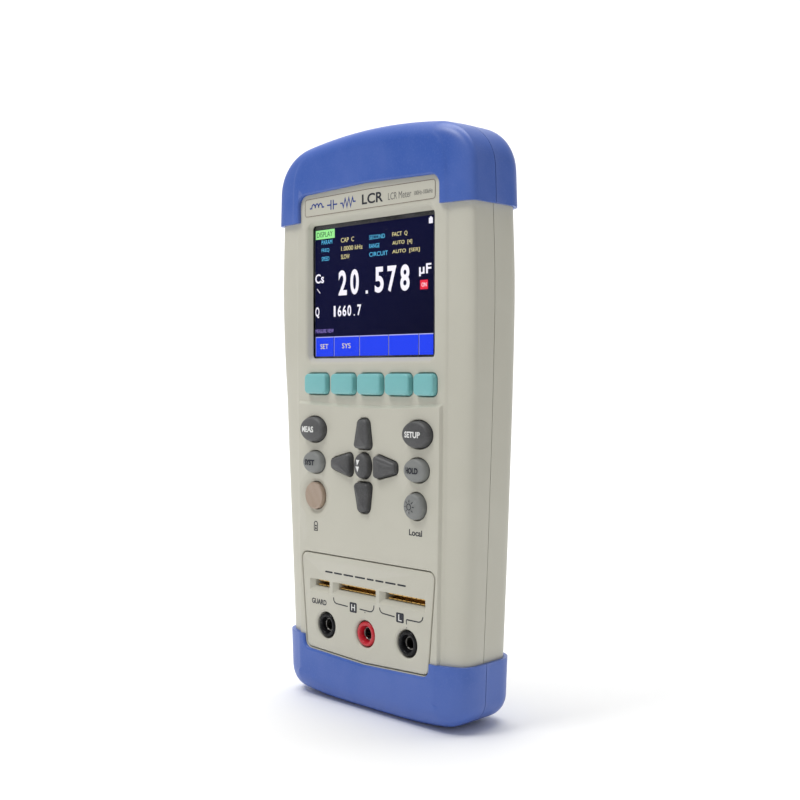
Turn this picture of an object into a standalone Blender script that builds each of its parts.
"""Handheld LCR meter: two case halves with soft bumpers, a colour display, sixteen keys, three
four-millimetre sockets with component slots above them, a battery and a hinged tilt stand.

Millimetres are used throughout and turned into metres when a mesh is made. X runs to the right
as the front is faced, Y to the rear and Z up. Heights are taken from a datum a little under the
base, and the origin of the finished object is under the middle of the base itself."""

import math

import bmesh
import bpy
from mathutils import Matrix, Vector

MM = 0.001
GAP = 0.3

# Case: half width of the body at each height, and the planes that bound it in depth.
DATUM = 3.7
WIDTHS = ((0, 44.6), (30, 46.0), (60, 47.5), (100, 49.2), (135, 50.4), (160, 50.8), (186, 49.9),
          (220, 48.6))
PLATEAUS = ((0, 36.6), (30, 36.9), (116, 38.2), (186, 38.6), (220, 38.0))
KEYPAD_FRONT = -14.0
SCREEN_FRONT = -12.7
CASE_REAR = 15.5
CAVITY_FRONT = -10.5
CAVITY_REAR = 11.9
PARTING = -0.5
WALL = 2.2
SLOPE_DEPTH = 11.5
SHOULDERS = ((0, 10.0), (30, 8.2), (60, 7.3), (90, 6.2), (117, 5.4), (137, 4.0), (165, 3.4), (220, 3.5))
TOP_BUMPER_SHOULDER = 4.6
REAR_RADIUS = 8.0
STEP_LOW = 115.3
STEP_HIGH = 116.5
STEP_SAG = 1.3

# Bumpers: how far they stand proud, the heights of their inner edges, and their outlines.
PROUD = 1.5
REAR_PROUD = 1.5
HEIGHT = 217.3
TOP_EDGE = 185.6
BOTTOM_EDGE = 27.5
TOP_ARCH = 0.0021
BOTTOM_ARCH = 0.0026
BASE_FLAT = 14.0
TOP_END_RADIUS = 7.0
BOTTOM_END_RADIUS = 8.0
NOTCH_HALF = 36.9
NOTCH_TOP = 196.3

# Display: rim and clear window, both as half sizes about one centre.
SCREEN_Z = 158.8
RIM_HALF = (33.9, 27.1)
WINDOW_HALF = (32.1, 24.7)
WINDOW_FRONT = -10.2
WINDOW_THICK = 1.5
BOARD_FRONT = -4.7
BOARD_THICK = 1.6

# Keys: rise above the case, travel, and the depth of the flange that holds them in.
TRAVEL = 1.0
KEY_GAP = 0.3
KEY_FLANGE = 0.52
MAT_FRONT = -6.9
STEM_REAR = MAT_FRONT - TRAVEL - GAP
SOFTKEY_Z = 123.8
SOFTKEY_HEIGHT = 7.8
SOFTKEY_RISE = 2.3
SOFTKEYS = ((-26.9, 12.4), (-11.9, 12.4), (2.5, 12.4), (17.0, 12.4), (30.0, 9.8))
OVAL_RISE = 3.0
OVAL_KEYS = (
    ("meas_key", -27.5, 106.5, 6.6, 4.8, "dark_key"),
    ("setup_key", 27.5, 106.5, 6.6, 4.8, "dark_key"),
    ("syst_key", -27.1, 94.0, 5.4, 4.2, "grey_key"),
    ("hold_key", 27.1, 94.0, 5.4, 4.2, "grey_key"),
    ("light_key", 26.4, 81.4, 4.7, 4.7, "grey_key"),
    ("enter_key", 0.0, 94.1, 3.8, 4.7, "dark_key"),
)
POWER_KEY = (-27.6, 81.2)
POWER_RADIUS = 5.2
POWER_RISE = 0.4
POWER_DISH = 7.2
ARROW_CENTRE = (0.0, 94.1)
ARROW_INNER = 6.1
ARROW_OUTER = 17.2
UP_HALVES = (4.2, 2.7)
SIDE_HALVES = (4.7, 1.9)

# Terminal panel: outline corners, component slots and sockets.
PANEL_CORNERS = ((-31.9, 23.2), (0.0, 21.9), (31.9, 23.2), (35.2, 59.1), (-35.2, 59.1))
PANEL_RADII = (2.5, 0.0, 2.5, 2.5, 2.5)
PANEL_GROOVE = 0.8
PANEL_FLANGE = (-8.9, -7.7)
SLOT_LOW = 45.9
SLOT_HIGH = 49.3
SLOTS = (("guard", -30.2, -19.3), ("high", -17.2, 5.8), ("low", 8.0, 30.6))
SOCKET_Z = 32.4
SOCKETS = (("guard", -21.4, "black_plastic"), ("high", 0.0, "red_plastic"), ("low", 21.4, "black_plastic"))
SOCKET_POCKET = 5.0
BARREL_OUTER = 4.6
BARREL_BORE = 2.5
SLEEVE_BORE = 2.0

# Rear: stand, battery door and screws.
STAND_PIN_Y = 15.0
STAND_PIN_Z = 150.0
STAND_PIN_RADIUS = 1.0
STAND_HALF = 27.0
STAND_FOOT_Z = 58.0
STAND_FRONT = 14.1
STAND_REAR = 16.7
RECESS_FLOOR = 13.8
BOSS_FRONT = -9.0
COVER_HALF = 27.7
COVER_Z = (66.0, 121.0)
CASE_SCREWS = ((-41.8, 177.5), (41.8, 177.5), (-38.7, 36.0), (38.7, 36.0))

# name: base colour, roughness, metallic
FINISHES = {
    "case_plastic": ((0.56, 0.55, 0.50), 0.50, 0.0),
    "blue_bumper": ((0.07, 0.16, 0.55), 0.38, 0.0),
    "teal_key": ((0.21, 0.53, 0.56), 0.40, 0.0),
    "dark_key": ((0.07, 0.07, 0.075), 0.55, 0.0),
    "grey_key": ((0.21, 0.22, 0.22), 0.50, 0.0),
    "power_key": ((0.38, 0.26, 0.21), 0.35, 0.0),
    "display_glass": ((0.01, 0.012, 0.06), 0.08, 0.0),
    "display_metal": ((0.55, 0.56, 0.58), 0.35, 1.0),
    "nameplate": ((0.60, 0.59, 0.55), 0.40, 0.0),
    "black_plastic": ((0.02, 0.02, 0.022), 0.35, 0.0),
    "red_plastic": ((0.60, 0.02, 0.03), 0.35, 0.0),
    "brass": ((0.75, 0.55, 0.22), 0.30, 1.0),
    "nickel": ((0.60, 0.60, 0.58), 0.30, 1.0),
    "steel": ((0.45, 0.46, 0.47), 0.35, 1.0),
    "board_green": ((0.02, 0.14, 0.06), 0.45, 0.0),
    "mat_rubber": ((0.30, 0.30, 0.30), 0.70, 0.0),
    "battery_wrap": ((0.10, 0.22, 0.50), 0.40, 0.0),
    "cable_film": ((0.40, 0.22, 0.05), 0.45, 0.0),
}


def clear_scene():
    for obj in list(bpy.data.objects):
        bpy.data.objects.remove(obj, do_unlink=True)


def finish_material(name):
    """The named finish as a Principled material, made once."""
    material = bpy.data.materials.get(name)
    if material is None:
        colour, roughness, metallic = FINISHES[name]
        material = bpy.data.materials.new(name)
        material.use_nodes = True
        shader = material.node_tree.nodes["Principled BSDF"]
        shader.inputs["Base Color"].default_value = (*colour, 1.0)
        shader.inputs["Roughness"].default_value = roughness
        shader.inputs["Metallic"].default_value = metallic
    return material


def loft(name, rings, finish, looped=False, origin=(0, 0, 0)):
    """An object skinned over rings of equal point counts. A looped stack closes on itself like a tube."""
    bm = bmesh.new()
    rows = [[bm.verts.new(Vector(point) * MM) for point in ring] for ring in rings]
    pairs = list(zip(rows, rows[1:]))
    if looped:
        pairs.append((rows[-1], rows[0]))
    else:
        bm.faces.new(rows[0])
        bm.faces.new(rows[-1])
    count = len(rows[0])
    for low, high in pairs:
        for i in range(count):
            j = (i + 1) % count
            bm.faces.new((low[i], low[j], high[j], high[i]))
    return bmesh_object(name, bm, finish, origin)


def bmesh_object(name, bm, finish, origin=(0, 0, 0)):
    """Closes up a bmesh, turns its faces outwards and makes an object whose origin is given in millimetres."""
    bmesh.ops.remove_doubles(bm, verts=bm.verts, dist=0.00001)
    bmesh.ops.recalc_face_normals(bm, faces=bm.faces)
    bmesh.ops.translate(bm, verts=bm.verts, vec=Vector(origin) * -MM)
    mesh = bpy.data.meshes.new(name)
    bm.to_mesh(mesh)
    bm.free()
    mesh.materials.append(finish_material(finish))
    mesh.shade_smooth()
    mesh.set_sharp_from_angle(angle=math.radians(35))
    obj = bpy.data.objects.new(name, mesh)
    obj.location = (Vector(origin) - Vector((0, 0, DATUM))) * MM
    bpy.context.scene.collection.objects.link(obj)
    return obj


def combine(target, helper, operation="DIFFERENCE"):
    """Adds a Boolean with a helper solid, which is then left out of renders."""
    helper.hide_render = True
    helper.display_type = "WIRE"
    modifier = target.modifiers.new(helper.name, "BOOLEAN")
    modifier.operation = operation
    modifier.object = helper
    modifier.solver = "EXACT"


def box_object(name, low, high, finish="case_plastic", origin=(0, 0, 0)):
    """A box between two corners."""
    x0, y0, z0 = low
    x1, y1, z1 = high
    rings = [[(x0, y, z0), (x1, y, z0), (x1, y, z1), (x0, y, z1)] for y in (y0, y1)]
    return loft(name, rings, finish, origin=origin)


def ellipse(centre, half_x, half_z, grow=0.0, count=16):
    """Points round an ellipse in the XZ plane."""
    turns = [2 * math.pi * (i + 0.5) / count for i in range(count)]
    return [
        (centre[0] + (half_x + grow) * math.cos(turn), centre[1] + (half_z + grow) * math.sin(turn))
        for turn in turns
    ]


def rounded_outline(corners, radii, grow=0.0, steps=3):
    """A convex counter-clockwise outline with its corners rounded, moved outward by grow."""
    points = []
    corners = [Vector(corner) for corner in corners]
    for i, corner in enumerate(corners):
        before = (corner - corners[i - 1]).normalized()
        after = (corners[(i + 1) % len(corners)] - corner).normalized()
        start = Vector((before.y, -before.x))
        end = Vector((after.y, -after.x))
        mitre = (start + end) / (1 + start.dot(end))
        if radii[i] == 0:
            points.append(tuple(corner + mitre * grow))
            continue
        centre = corner - mitre * radii[i]
        turn = math.atan2(before.cross(after), before.dot(after))
        for k in range(steps + 1):
            normal = Matrix.Rotation(turn * k / steps, 2) @ start
            points.append(tuple(centre + normal * (radii[i] + grow)))
    return points


def rounded_box_outline(centre, half_x, half_z, radius, grow=0.0, steps=3):
    """A rounded rectangle in the XZ plane."""
    x, z = centre
    corners = ((x - half_x, z - half_z), (x + half_x, z - half_z), (x + half_x, z + half_z),
               (x - half_x, z + half_z))
    return rounded_outline(corners, (radius,) * 4, grow, steps)


def at_depth(outline, y):
    """Lifts an XZ outline to the depth y."""
    return [(x, y, z) for x, z in outline]


def turned(name, profile, centre, finish, count=16, looped=False, axis="Y", origin=(0, 0, 0)):
    """A solid turned about an axis through centre. The profile is radius and place along the axis."""
    rings = []
    for radius, along in profile:
        ring = []
        for i in range(count):
            turn = 2 * math.pi * (i + 0.5) / count
            a, b = radius * math.cos(turn), radius * math.sin(turn)
            if axis == "Y":
                ring.append((centre[0] + a, along, centre[1] + b))
            else:
                ring.append((along, centre[0] + a, centre[1] + b))
        rings.append(ring)
    return loft(name, rings, finish, looped, origin)


def bezier(a, b, c, d, steps):
    """Points along a cubic curve, without its first point."""
    points = []
    for i in range(1, steps + 1):
        t = i / steps
        s = 1 - t
        points.append(Vector(a) * s**3 + Vector(b) * 3 * s * s * t + Vector(c) * 3 * s * t * t + Vector(d) * t**3)
    return points


def smooth_lookup(stations, z):
    """A value at a height, on a smooth curve through (height, value) stations."""
    index = max(0, min(len(stations) - 2, sum(1 for station in stations[1:-1] if z >= station[0])))
    (z0, v0), (z1, v1) = stations[index], stations[index + 1]
    span = z1 - z0
    t = (z - z0) / span
    rise0 = station_slope(stations, index) * span
    rise1 = station_slope(stations, index + 1) * span
    ease = 3 * t**2 - 2 * t**3
    return v0 * (1 - ease) + v1 * ease + rise0 * (t**3 - 2 * t**2 + t) + rise1 * (t**3 - t**2)


def station_slope(stations, index):
    low = stations[max(0, index - 1)]
    high = stations[min(len(stations) - 1, index + 1)]
    return (high[1] - low[1]) / (high[0] - low[0])


def half_width(z):
    return smooth_lookup(WIDTHS, z)


def half_section(width, flat, front, rear, pad=0.0, slope=SLOPE_DEPTH, rear_radius=REAR_RADIUS):
    """Right half of a horizontal section: flat front, sloping side, rear corner and rear middle.
    The pad is how far the middle of the front stands out from the rest, and the slope is the depth
    over which the shoulder turns into the side."""
    edge = Vector((flat + 1.6, front + 0.5))
    side = Vector((width, front + slope))
    reach = width - edge.x
    points = [
        Vector((0, front - pad)),
        Vector((flat * 0.5, front - pad)),
        Vector((flat - 1.0, front - pad)),
        Vector((flat - 0.2, front - pad * 0.5)),
        Vector((flat, front)),
        edge,
    ]
    points += bezier(edge, edge + Vector((reach * 0.74, slope * 0.17)), side - Vector((0, slope * 0.565)),
                     side, 5)
    middle = Vector((width - 0.4 - rear_radius, rear - rear_radius))
    for i in range(5):
        turn = math.pi / 2 * i / 4
        points.append(middle + rear_radius * Vector((math.cos(turn), math.sin(turn))))
    points.append(Vector((0, rear)))
    return points


def full_section(z, shrink, front, rear, pad=0.0, slope=SLOPE_DEPTH):
    """A closed horizontal section at the height z, with its sides drawn in by shrink."""
    flat = smooth_lookup(PLATEAUS, z) - max(0.0, shrink)
    right = half_section(half_width(z) - shrink, flat, front, rear, pad, slope)
    left = [Vector((-point.x, point.y)) for point in reversed(right[1:-1])]
    return [Vector((point.x, point.y, z)) for point in right + left]


def case_rings(grow=0.0):
    """Sections of the whole body from the base to the top. Under the bumpers it is slightly smaller."""
    under = ((6.2, 9.0, 3.5), (8.0, 5.5, 2.4), (12.0, 3.0, 1.0), (18.0, 1.2, 0.0),
             (BOTTOM_EDGE - GAP, 0.5, 0.0))
    over = ((TOP_EDGE + GAP, 0.5, 0.0), (198.0, 0.7, 0.0), (204.0, 1.8, 1.6), (209.0, 4.6, 3.2),
            (212.4, 10.0, 5.0))
    pad = SCREEN_FRONT - KEYPAD_FRONT
    rings = []

    def add(z, shrink, recede, pad, end=0.0):
        rear = CASE_REAR - recede - (0.5 if shrink else 0.0)
        front = SCREEN_FRONT + recede - grow
        ring = full_section(z, shrink - grow, front, rear + grow, pad, smooth_lookup(SHOULDERS, z))
        rings.append([Vector((point.x, point.y, point.z + end)) for point in ring])

    for z, shrink, recede in under:
        add(z, shrink, recede, pad, -grow if z == under[0][0] else 0.0)
    for z in (BOTTOM_EDGE - GAP + 0.01, 60.0, 100.0):
        add(z, 0.0, 0.0, pad)
    for z, rise in ((STEP_LOW, pad), (STEP_HIGH, 0.0)):
        add(z, 0.0, 0.0, rise)
        rings[-1] = [Vector((p.x, p.y, p.z + step_drop(p.x, p.y))) for p in rings[-1]]
    for z in (140.0, 160.0, TOP_EDGE + GAP - 0.01):
        add(z, 0.0, 0.0, 0.0)
    for z, shrink, recede in over:
        add(z, shrink, recede, 0.0, grow if z == over[-1][0] else 0.0)
    return rings


def step_drop(x, y):
    """The step under the soft keys sags a little towards the middle of the front."""
    if y > PARTING:
        return 0.0
    return STEP_SAG * (min(abs(x), 39.0) / 39.0) ** 2 - STEP_SAG * 0.25


def cavity_rings():
    """The hollow inside the two shells."""
    stations = ((9.0, 8.0), (16.0, WALL + 1.8), (60.0, WALL), (100.0, WALL), (140.0, WALL), (185.0, WALL),
                (200.0, WALL + 1.2), (209.0, 8.5))
    return [full_section(z, shrink, CAVITY_FRONT, CAVITY_REAR) for z, shrink in stations]


def half_space(name, y_low, y_high):
    """A block that removes everything between two depths."""
    return box_object(name, (-70, y_low, -20), (70, y_high, 240))


# ---------------------------------------------------------------- bumpers


def top_edge_height(x):
    return HEIGHT - TOP_ARCH * x * x


def bottom_edge_height(x):
    return DATUM + BOTTOM_ARCH * max(0.0, abs(x) - BASE_FLAT) ** 2


def outline_side(z):
    """Half width of a bumper at a height."""
    return half_width(z) + PROUD


def bumper_half_outline(top):
    """Right side of a bumper's front outline from its inner edge to the middle."""
    if top:
        start, turn_z, turn_x, height_of = TOP_EDGE, 197.0, 34.0, top_edge_height
    else:
        start, turn_z, turn_x, height_of = BOTTOM_EDGE, 14.5, 36.0, bottom_edge_height
    halfway = (start + turn_z) / 2
    side = Vector((outline_side(turn_z), turn_z))
    end = Vector((turn_x, height_of(turn_x)))
    rise = end.y - turn_z
    along = Vector((1.0, height_of(turn_x) - height_of(turn_x - 1))).normalized()
    points = [Vector((outline_side(z), z)) for z in (start, halfway)] + [side]
    points += bezier(side, side + Vector((0, rise * 0.55)), end + along * (side.x - end.x) * 0.55, end, 6)
    points += [Vector((x, height_of(x))) for x in (25.0, BASE_FLAT, 0.0)]
    return points


def outline_normals(points, top):
    """Outward directions along a half outline. The inner edge moves sideways only."""
    normals = [Vector((1, 0)), Vector((1, 0))]
    for i in range(2, len(points) - 1):
        along = points[i + 1] - points[i - 1]
        normal = Vector((along.y, -along.x)) if top else Vector((-along.y, along.x))
        normals.append(normal.normalized())
    normals.append(Vector((0, 1 if top else -1)))
    return normals


def bumper_depths(front, rear, slope, end_radius):
    """Depth levels of a bumper with how far the sides and the end are drawn in at each."""
    section = half_section(100.0, 88.0, front, rear, slope=slope, rear_radius=REAR_RADIUS + 1.5)[4:-1]
    levels = []
    for i, point in enumerate(section):
        inset = 100.0 - point.x
        depth = max(0.0, min(point.y - front, rear - point.y))
        end = 0.0
        if depth < end_radius:
            end = end_radius - math.sqrt(end_radius**2 - (end_radius - depth) ** 2)
        levels.append((point.y, inset, end))
    return levels


def bumper_outer(name, top):
    """The outer form of a bumper, still solid inside."""
    front = (SCREEN_FRONT - PROUD) if top else (KEYPAD_FRONT - 1.1)
    rear = CASE_REAR + REAR_PROUD
    half = bumper_half_outline(top)
    normals = outline_normals(half, top)
    rings = []
    bend = (TOP_BUMPER_SHOULDER, TOP_END_RADIUS) if top else (SLOPE_DEPTH, BOTTOM_END_RADIUS)
    for y, inset, end in bumper_depths(front, rear, *bend):
        right = [
            (point.x - normal.x * inset, y, point.y - normal.y * end)
            for point, normal in zip(half, normals)
        ]
        left = [(-x, y_, z) for x, y_, z in reversed(right[:-1])]
        rings.append(right + left)
    return loft(name, rings, "blue_bumper")


def notch_cutter(name, top):
    """Opens the front of a bumper round the nameplate or the terminal panel."""
    if top:
        corners = ((-NOTCH_HALF, TOP_EDGE - 6), (NOTCH_HALF, TOP_EDGE - 6), (NOTCH_HALF, NOTCH_TOP - 0.6),
                   (0, NOTCH_TOP + 0.5), (-NOTCH_HALF, NOTCH_TOP - 0.6))
        outline = rounded_outline(corners, (0.1, 0.1, 4.0, 0.0, 4.0))
    else:
        outline = rounded_outline(PANEL_CORNERS, PANEL_RADII, PANEL_GROOVE + 0.5)
    return loft(name, [at_depth(outline, -30), at_depth(outline, -8)], "blue_bumper")


def make_bumpers():
    for top, place in ((True, "top"), (False, "bottom")):
        for side, low, high in (("front", PARTING - GAP / 2, 60), ("rear", -60, PARTING + GAP / 2)):
            bumper = bumper_outer(f"{place}_bumper_{side}", top)
            inner = loft(f"cut_{place}_{side}_inner", case_rings(GAP), "case_plastic")
            combine(bumper, inner)
            combine(bumper, half_space(f"cut_{place}_{side}_half", low, high))
            if side == "front":
                combine(bumper, notch_cutter(f"cut_{place}_notch", top))


# ---------------------------------------------------------------- keys


def key_outline(name, grow=0.0):
    """Front outline of a key, by name."""
    for i, (x, width) in enumerate(SOFTKEYS):
        if name == f"softkey_{i + 1}":
            return rounded_box_outline((x, SOFTKEY_Z), width / 2, SOFTKEY_HEIGHT / 2, 2.0, grow)
    for key, x, z, half_x, half_z, _ in OVAL_KEYS:
        if name == key:
            return ellipse((x, z), half_x, half_z, grow)
    if name == "power_key":
        return ellipse(POWER_KEY, POWER_RADIUS, POWER_RADIUS, grow)
    turns = {"right_key": 0, "up_key": 1, "left_key": 2, "down_key": 3}[name]
    inner, outer = UP_HALVES if turns % 2 else SIDE_HALVES
    corners = ((ARROW_INNER, -inner), (ARROW_OUTER, -outer), (ARROW_OUTER, outer), (ARROW_INNER, inner))
    tip = min(2.4, outer)
    flat = rounded_outline(corners, (1.7, tip * 0.95, tip * 0.95, 1.7), grow)
    spin = Matrix.Rotation(turns * math.pi / 2, 2)
    return [tuple(spin @ Vector(point) + Vector(ARROW_CENTRE)) for point in flat]


def scaled(outline, factor):
    """An outline drawn in towards its own middle."""
    middle = sum((Vector(point) for point in outline), Vector((0, 0))) / len(outline)
    return [tuple(middle + (Vector(point) - middle) * factor) for point in outline]


def key_list():
    """Every key: its name, its finish, the case surface round it and how far it stands out."""
    keys = [(f"softkey_{i + 1}", "teal_key", SCREEN_FRONT, SOFTKEY_RISE) for i in range(len(SOFTKEYS))]
    keys += [(name, finish, KEYPAD_FRONT, OVAL_RISE) for name, _, _, _, _, finish in OVAL_KEYS]
    arrows = ("up_key", "down_key", "left_key", "right_key")
    keys += [(name, "dark_key", KEYPAD_FRONT, OVAL_RISE) for name in arrows]
    keys.append(("power_key", "power_key", KEYPAD_FRONT, POWER_RISE))
    return keys


def make_key(name, finish, surface, rise):
    """A key cap: short stem, flange behind the case wall, straight body and a rounded top."""
    top = surface - rise
    base = key_outline(name)
    middle = sum((Vector(point) for point in base), Vector((0, 0))) / len(base)
    flange_front = CAVITY_FRONT + GAP
    flange_rear = flange_front + 1.0
    rings = [
        at_depth(scaled(base, 0.5), STEM_REAR),
        at_depth(scaled(base, 0.5), flange_rear),
        at_depth(key_outline(name, KEY_FLANGE), flange_rear),
        at_depth(key_outline(name, KEY_FLANGE), flange_front),
        at_depth(base, flange_front),
        at_depth(key_outline(name, -0.15), top + 1.2),
        at_depth(key_outline(name, -0.6), top + 0.45),
        at_depth(key_outline(name, -1.5), top),
    ]
    return loft(name, rings, finish, origin=(middle.x, surface, middle.y))


# ---------------------------------------------------------------- shells


def make_front_shell():
    shell = loft("front_shell", case_rings(), "case_plastic")
    combine(shell, half_space("cut_front_half", PARTING - GAP / 2, 60))
    combine(shell, loft("cut_front_cavity", cavity_rings(), "case_plastic"))
    for i, (x, z) in enumerate(CASE_SCREWS):
        boss = turned(f"add_boss_{i + 1}", ((3.0, BOSS_FRONT), (3.0, PARTING - 1.2)), (x, z),
                      "case_plastic", 12)
        combine(shell, boss, "UNION")
        bore = turned(f"cut_boss_{i + 1}", ((1.65, BOSS_FRONT + 1.2), (1.65, PARTING + 1)), (x, z),
                      "case_plastic", 10)
        combine(shell, bore)
    slope = (RIM_HALF[0] - WINDOW_HALF[0]) / (CAVITY_FRONT - SCREEN_FRONT)
    rim = rounded_box_outline((0, SCREEN_Z), RIM_HALF[0] + slope, RIM_HALF[1] + slope, 3.5)
    sill = rounded_box_outline((0, SCREEN_Z), WINDOW_HALF[0] - slope, WINDOW_HALF[1] - slope, 1.2)
    combine(shell, loft("cut_window", [at_depth(rim, SCREEN_FRONT - 1), at_depth(sill, CAVITY_FRONT + 1)],
                        "case_plastic"))
    for name, _, surface, _ in key_list():
        hole = key_outline(name, KEY_GAP)
        combine(shell, loft(f"cut_{name}", [at_depth(hole, surface - 3), at_depth(hole, CAVITY_FRONT + 1)],
                            "case_plastic"))
    dish = ((POWER_DISH + 1.4, KEYPAD_FRONT - 1), (POWER_DISH - 1.4, KEYPAD_FRONT + 1),
            (1.0, KEYPAD_FRONT + 1.01))
    combine(shell, turned("cut_power_dish", dish, POWER_KEY, "case_plastic", 20))
    hole = rounded_outline(PANEL_CORNERS, PANEL_RADII, PANEL_GROOVE)
    combine(shell, loft("cut_panel", [at_depth(hole, -20), at_depth(hole, CAVITY_FRONT + 1)],
                        "case_plastic"))
    combine(shell, box_object("cut_nameplate", (-34.7, -20, 187.2), (34.7, SCREEN_FRONT + 0.6, 195.0)))
    combine(shell, socket_opening("cut_front_socket"))
    return shell


def socket_opening(name):
    """The charging socket's opening through the left wall, across the parting line."""
    outline = [(y, z) for y, z in rounded_box_outline((-0.9, 148.0), 2.2, 4.6, 0.8)]
    return loft(name, [[(x, y, z) for y, z in outline] for x in (-60.0, -46.0)], "case_plastic")


def make_rear_shell():
    shell = loft("rear_shell", case_rings(), "case_plastic")
    combine(shell, half_space("cut_rear_half", -60, PARTING + GAP / 2))
    combine(shell, loft("cut_rear_cavity", cavity_rings(), "case_plastic"))
    for i, (x, z) in enumerate(CASE_SCREWS):
        sleeve = turned(f"add_sleeve_{i + 1}", ((4.3, PARTING + 1.2), (4.3, CAVITY_REAR + 0.8)), (x, z),
                        "case_plastic", 12)
        combine(shell, sleeve, "UNION")
    for side in (-1, 1):
        lug = lug_block(f"add_lug_{side + 2}", side)
        combine(shell, lug, "UNION")
    low, high = STAND_FOOT_Z - 0.6, STAND_PIN_Z + 2.6
    recess = rounded_box_outline((0, (low + high) / 2), STAND_HALF + 0.6, (high - low) / 2, 2.0)
    combine(shell, loft("cut_stand_recess", [at_depth(recess, RECESS_FLOOR), at_depth(recess, 30)],
                        "case_plastic"))
    groove = turned("cut_barrel_groove", ((2.4, -STAND_HALF - 0.6), (2.4, STAND_HALF + 0.6)),
                    (STAND_PIN_Y, STAND_PIN_Z),
                    "case_plastic", 16, axis="X")
    combine(shell, groove)
    finger = rounded_box_outline((0, STAND_FOOT_Z - 2.5), 8.0, 4.5, 2.0)
    combine(shell, loft("cut_finger_notch", [at_depth(finger, RECESS_FLOOR - 0.6), at_depth(finger, 30)],
                        "case_plastic"))
    bore = turned("cut_pin_bore", ((STAND_PIN_RADIUS + GAP, -31.4), (STAND_PIN_RADIUS + GAP, 31.4)),
                  (STAND_PIN_Y, STAND_PIN_Z), "case_plastic", 12, axis="X")
    combine(shell, bore)
    make_cover_opening(shell)
    for i, (x, z) in enumerate(CASE_SCREWS):
        well = turned(f"cut_well_{i + 1}", ((1.9, 0), (1.9, 6.2), (3.3, 6.21), (3.3, 30)), (x, z),
                      "case_plastic", 12)
        combine(shell, well)
    combine(shell, socket_opening("cut_rear_socket"))
    return shell


def lug_block(name, side):
    """An ear beside the stand that holds one end of its pin."""
    outline = [(y, z) for y, z in rounded_box_outline((14.5, STAND_PIN_Z), 2.5, 4.5, 1.6)]
    inner, outer = side * (STAND_HALF - 1.0), side * 33.5
    return loft(name, [[(x, y, z) for y, z in outline] for x in (inner, outer)], "case_plastic")


def make_cover_opening(shell):
    low, high = COVER_Z
    middle = (0, (low + high) / 2)
    half_z = (high - low) / 2
    screw_boss = turned("add_cover_boss", ((3.0, 5.0), (3.0, CAVITY_REAR + 0.5)), (0, low + 4.0),
                        "case_plastic", 12)
    combine(shell, screw_boss, "UNION")
    rebate = rounded_box_outline(middle, COVER_HALF - 1.2, half_z, 2.0)
    combine(shell, loft("cut_cover_rebate", [at_depth(rebate, 12.6), at_depth(rebate, 20)], "case_plastic"))
    opening = rounded_box_outline((0, middle[1] + 4.0), COVER_HALF - 3.4, half_z - 6.0, 1.5)
    combine(shell, loft("cut_cover_opening", [at_depth(opening, CAVITY_REAR - 1), at_depth(opening, 20)],
                        "case_plastic"))
    combine(shell, turned("cut_cover_screw", ((1.3, 5.6), (1.3, 20)), (0, low + 4.0), "case_plastic", 10))


def make_battery_cover():
    low, high = COVER_Z
    middle = (0, (low + high) / 2)
    half_z = (high - low) / 2
    plate = rounded_box_outline(middle, COVER_HALF - 1.2, half_z, 2.0, -GAP)
    plug = rounded_box_outline((0, middle[1] + 4.0), COVER_HALF - 3.4, half_z - 6.0, 1.5, -GAP)
    cover = loft("battery_cover", [at_depth(plate, 12.6 + GAP), at_depth(plate, RECESS_FLOOR)],
                 "case_plastic")
    inner = loft("add_cover_plug", [at_depth(plug, CAVITY_REAR), at_depth(plug, 13.3)], "case_plastic")
    combine(cover, inner, "UNION")
    hole = turned("cut_cover_hole", ((1.35, 10), (1.35, 12.9), (2.4, 13.9), (2.4, 20)), (0, low + 4.0),
                  "case_plastic", 12)
    combine(cover, hole)
    profile = ((1.0, 6.4), (1.0, 12.9), (1.75, 13.6), (1.75, 13.75), (1.1, 13.75), (0.9, 13.4))
    turned("battery_cover_screw", profile, (0, low + 4.0), "steel", 12)


def make_terminal_panel():
    """The panel insert with its hidden flange, three component slots and three socket pockets."""
    face = rounded_outline(PANEL_CORNERS, PANEL_RADII)
    flange = rounded_outline(PANEL_CORNERS, PANEL_RADII, PANEL_GROOVE + 0.7)
    flange_front, rear = PANEL_FLANGE
    rings = [
        at_depth(flange, rear),
        at_depth(flange, flange_front),
        at_depth(face, flange_front),
        at_depth(face, KEYPAD_FRONT + 0.25),
        at_depth(rounded_outline(PANEL_CORNERS, PANEL_RADII, -0.25), KEYPAD_FRONT),
    ]
    panel = loft("terminal_panel", rings, "case_plastic")
    for name, x_low, x_high in SLOTS:
        mouth = rounded_box_outline(((x_low + x_high) / 2, (SLOT_LOW + SLOT_HIGH) / 2 - 0.5),
                                    (x_high - x_low) / 2 + 0.3, (SLOT_HIGH - SLOT_LOW) / 2 + 1.1, 0.4)
        throat = rounded_box_outline(((x_low + x_high) / 2, (SLOT_LOW + SLOT_HIGH) / 2),
                                     (x_high - x_low) / 2 - 0.3, (SLOT_HIGH - SLOT_LOW) / 2 - 0.3, 0.3)
        rings = [at_depth(mouth, KEYPAD_FRONT - 0.5), at_depth(throat, KEYPAD_FRONT + 1.6),
                 at_depth(throat, rear + 1)]
        combine(panel, loft(f"cut_slot_{name}", rings, "case_plastic"))
    for name, x, _ in SOCKETS:
        profile = ((SOCKET_POCKET + 0.9, KEYPAD_FRONT - 0.6), (SOCKET_POCKET, KEYPAD_FRONT + 0.6),
                   (SOCKET_POCKET, rear + 1))
        combine(panel, turned(f"cut_pocket_{name}", profile, (x, SOCKET_Z), "case_plastic", 20))
    return panel


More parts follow.
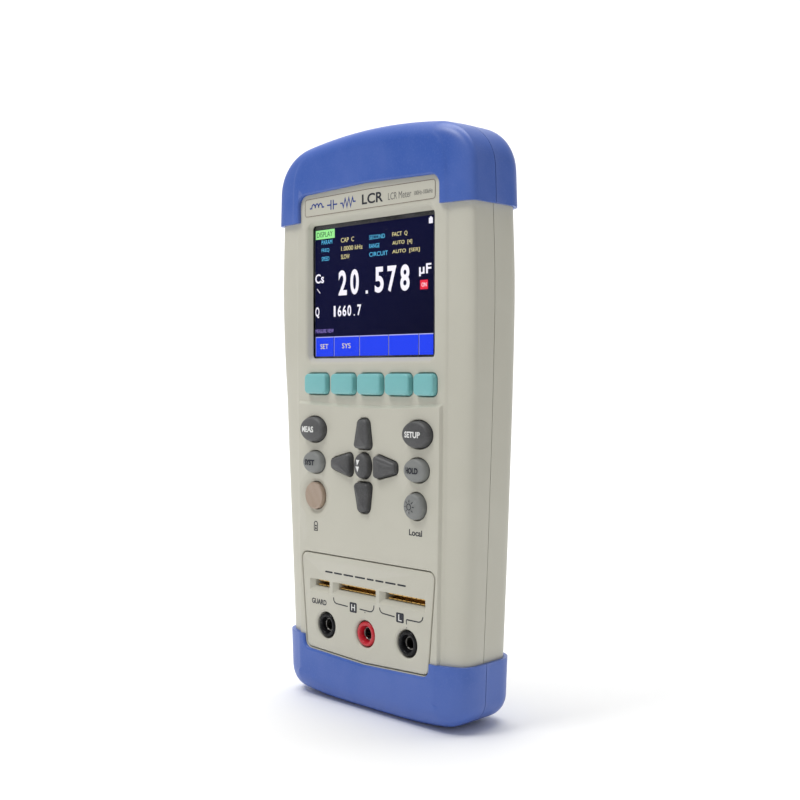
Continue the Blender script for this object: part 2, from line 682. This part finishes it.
def make_sockets():
    """Each socket is a plastic barrel round a metal sleeve, held behind the panel by the barrel's collar."""
    front = KEYPAD_FRONT + 0.5
    for name, x, finish in SOCKETS:
        profile = (
            (BARREL_BORE, front + 0.6),
            (BARREL_BORE + 0.5, front),
            (BARREL_OUTER - 0.7, front),
            (BARREL_OUTER, front + 0.7),
            (BARREL_OUTER, PANEL_FLANGE[1] + GAP),
            (BARREL_OUTER + 1.4, PANEL_FLANGE[1] + GAP),
            (BARREL_OUTER + 1.4, BOARD_FRONT - GAP),
            (BARREL_BORE, BOARD_FRONT - GAP),
        )
        turned(f"jack_{name}", profile, (x, SOCKET_Z), finish, 20, looped=True)
        sleeve = (
            (SLEEVE_BORE, front + 1.6),
            (SLEEVE_BORE + 0.25, front + 1.6),
            (SLEEVE_BORE + 0.25, 6.0),
            (SLEEVE_BORE, 6.0),
        )
        turned(f"jack_sleeve_{name}", sleeve, (x, SOCKET_Z), "nickel", 14, looped=True)


def make_slot_contacts():
    """A folded brass strip behind each component slot: an upper leaf that bends down and back to a tail."""
    for name, x_low, x_high in SLOTS:
        upper = ((-10.9, 48.6), (-8.6, 47.9), (-6.6, 47.9), (-6.6, 44.4), (-5.4, 44.4))
        lower = ((-5.4, 44.0), (-7.0, 44.0), (-7.0, 47.5), (-8.7, 47.5), (-11.0, 48.2))
        outline = upper + lower
        rings = [[(x, y, z) for y, z in outline] for x in (x_low + 0.9, x_high - 0.9)]
        loft(f"slot_contact_{name}", rings, "brass")


def make_display():
    window = rounded_box_outline((0, SCREEN_Z), WINDOW_HALF[0] + 3.4, WINDOW_HALF[1] + 3.2, 2.0)
    rear = WINDOW_FRONT + WINDOW_THICK
    loft("display_window", [at_depth(window, WINDOW_FRONT), at_depth(window, rear)], "display_glass")
    module = rounded_box_outline((0, SCREEN_Z + 2.4), 38.2, 31.6, 0.8, steps=1)
    loft("display_module", [at_depth(module, rear + GAP), at_depth(module, BOARD_FRONT - 0.6)],
         "display_metal")
    front, back = BOARD_FRONT - 0.3, BOARD_FRONT + BOARD_THICK + 0.3
    outline = (
        (front, 188.0), (front, 172.0), (back, 166.0), (back, 152.0),
        (back + 0.4, 152.0), (back + 0.4, 166.2), (front + 0.4, 172.2), (front + 0.4, 188.0),
    )
    rings = [[(x, y, z) for y, z in outline] for x in (-12.0, 12.0)]
    loft("display_cable", rings, "cable_film")


def make_board():
    """The main board, narrow between the lower screw posts, with holes for the sockets' sleeves."""
    front, rear = BOARD_FRONT, BOARD_FRONT + BOARD_THICK
    outline = ((-32.5, 12), (32.5, 12), (32.5, 62), (40.5, 62), (40.5, 95), (45.0, 95), (45.0, 165),
               (-45.0, 165), (-45.0, 95), (-40.5, 95), (-40.5, 62), (-32.5, 62))
    board = loft("main_board", [at_depth(outline, front), at_depth(outline, rear)], "board_green")
    for name, x, _ in SOCKETS:
        profile = ((SLEEVE_BORE + 0.6, front - 1), (SLEEVE_BORE + 0.6, rear + 1))
        combine(board, turned(f"cut_board_{name}", profile, (x, SOCKET_Z), "board_green", 12))
    box_object("shield_can", (-26, rear + GAP, 40), (26, rear + 4.5, 62), "nickel")
    turned("buzzer", ((6.0, rear + GAP), (6.0, rear + 5.5), (1.2, rear + 5.5), (1.2, rear + 5.0)),
           (-30, 112),
           "black_plastic", 16)
    mat = rounded_box_outline((0, 100.3), 37.0, 28.3, 2.0, steps=1)
    loft("keypad_mat", [at_depth(mat, MAT_FRONT), at_depth(mat, BOARD_FRONT - GAP)], "mat_rubber")
    profile = rounded_box_outline((0.0, 148.0), 1.5, 3.9, 0.6)
    rings = [[(x, y - 0.9, z) for y, z in profile] for x in (-49.6, -45.4)]
    socket = loft("charge_socket", rings, "nickel")
    slot = rounded_box_outline((0.0, 148.0), 1.0, 3.4, 0.4)
    combine(socket, loft("cut_charge_socket", [[(x, y - 0.9, z) for y, z in slot] for x in (-52.0, -46.2)],
                         "nickel"))


def make_battery():
    box_object("battery_pack", (-23.5, 1.8, 73.5), (23.5, 11.4, 117.0), "battery_wrap")
    route = (Vector((15.0, 5.5, 117.6)), Vector((15.0, 5.5, 121.0)), Vector((14.0, 4.5, 125.0)),
             Vector((11.0, 2.6, 128.0)),
             Vector((8.0, 0.6, 129.5)), Vector((8.0, -1.4, 129.5)))
    curve = bpy.data.curves.new("battery_lead", "CURVE")
    curve.dimensions = "3D"
    curve.bevel_depth = 1.0 * MM
    curve.bevel_resolution = 1
    curve.use_fill_caps = True
    spline = curve.splines.new("POLY")
    spline.points.add(len(route) - 1)
    for point, place in zip(spline.points, route):
        point.co = (*(place * MM), 1.0)
    curve.materials.append(finish_material("red_plastic"))
    lead = bpy.data.objects.new("battery_lead", curve)
    lead.location.z = -DATUM * MM
    bpy.context.scene.collection.objects.link(lead)


def make_nameplate():
    outline = rounded_outline(((-34.4, 187.5), (34.4, 187.5), (34.4, 194.3), (0, 194.7), (-34.4, 194.3)),
                              (1.2, 1.2, 1.2, 0.0, 1.2))
    loft("nameplate", [at_depth(outline, SCREEN_FRONT + 0.3), at_depth(outline, SCREEN_FRONT - 0.1)],
         "nameplate")


def make_screws():
    """Pan-head screws that go in from the rear and hold the two shells together."""
    for i, (x, z) in enumerate(CASE_SCREWS):
        profile = (
            (0.6, BOSS_FRONT + 1.6), (1.35, BOSS_FRONT + 2.4), (1.35, 6.5), (2.7, 6.5), (2.7, 7.6), (2.1,
                    8.4), (1.0, 8.4), (0.6, 7.3),
        )
        turned(f"case_screw_{i + 1}", profile, (x, z), "steel", 12)


def make_stand():
    """The tilt stand and the pin that it turns on."""
    origin = (0, STAND_PIN_Y, STAND_PIN_Z)
    barrel = turned("tilt_stand", ((2.0, -STAND_HALF), (2.0, STAND_HALF)), (STAND_PIN_Y, STAND_PIN_Z),
                    "case_plastic",
                    16, axis="X", origin=origin)
    middle = (STAND_PIN_Z + STAND_FOOT_Z) / 2
    outline = rounded_box_outline((0, middle), STAND_HALF, (STAND_PIN_Z - STAND_FOOT_Z) / 2, 3.0)
    inner = rounded_box_outline((0, middle), STAND_HALF - 1.0, (STAND_PIN_Z - STAND_FOOT_Z) / 2 - 1.0, 2.0)
    plate = loft("add_stand_plate", [at_depth(outline, STAND_FRONT), at_depth(outline, STAND_REAR - 0.8),
                                     at_depth(inner, STAND_REAR)], "case_plastic")
    combine(barrel, plate, "UNION")
    hollow = rounded_box_outline((0, middle - 3.0), STAND_HALF - 7.0, 34.0, 3.0)
    combine(barrel, loft("cut_stand_hollow", [at_depth(hollow, STAND_REAR - 1.2), at_depth(hollow, 20)],
                         "case_plastic"))
    bore = turned("cut_stand_bore", ((STAND_PIN_RADIUS + GAP, -40), (STAND_PIN_RADIUS + GAP, 40)),
                  (STAND_PIN_Y, STAND_PIN_Z), "case_plastic", 12, axis="X")
    combine(barrel, bore)
    turned("stand_pin", ((STAND_PIN_RADIUS, -31.0), (STAND_PIN_RADIUS, 31.0)), (STAND_PIN_Y, STAND_PIN_Z),
           "steel",
           12, axis="X")


def main():
    clear_scene()
    make_front_shell()
    make_rear_shell()
    make_bumpers()
    make_terminal_panel()
    make_sockets()
    make_slot_contacts()
    make_nameplate()
    make_display()
    make_board()
    make_battery()
    make_battery_cover()
    for name, finish, surface, rise in key_list():
        make_key(name, finish, surface, rise)
    make_screws()
    make_stand()


main()
